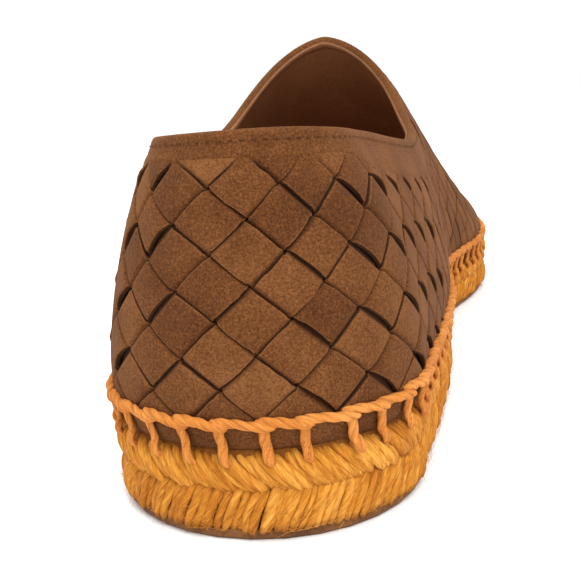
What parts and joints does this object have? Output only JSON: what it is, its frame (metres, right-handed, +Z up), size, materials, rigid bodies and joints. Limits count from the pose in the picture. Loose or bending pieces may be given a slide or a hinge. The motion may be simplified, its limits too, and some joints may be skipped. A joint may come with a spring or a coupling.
{
  "type": "espadrille",
  "caption": "Slip-on espadrille for the left foot: hollow upper of plaited suede strips, bound topline, rope-braid sole with blanket stitch and thin rubber outsole.",
  "frame": {"origin": "middle of the shoe's bounding box, on the floor", "axes": "+Y from heel to toe, +X to the inner side of the foot, +Z up"},
  "size_m": [0.0995, 0.2724, 0.0975],
  "materials": {
    "rubber": "thin brown rubber, matt, worn at the edge",
    "jute": "golden plied jute rope, braided, with loose fibres",
    "lining_leather": "smooth brown lining leather with a slight sheen",
    "suede": "brown suede with a short nap, darker along the strip edges",
    "binding_leather": "folded brown suede edge with a row of fine stitches",
    "yarn": "orange plied cotton yarn"
  },
  "bodies": {
    "root": {"outsole": "rubber", "braided_sole": "jute", "insole": "lining_leather", "upper": "suede", "topline_binding": "binding_leather", "blanket_stitch": "yarn"}
  },
  "joints": []
}
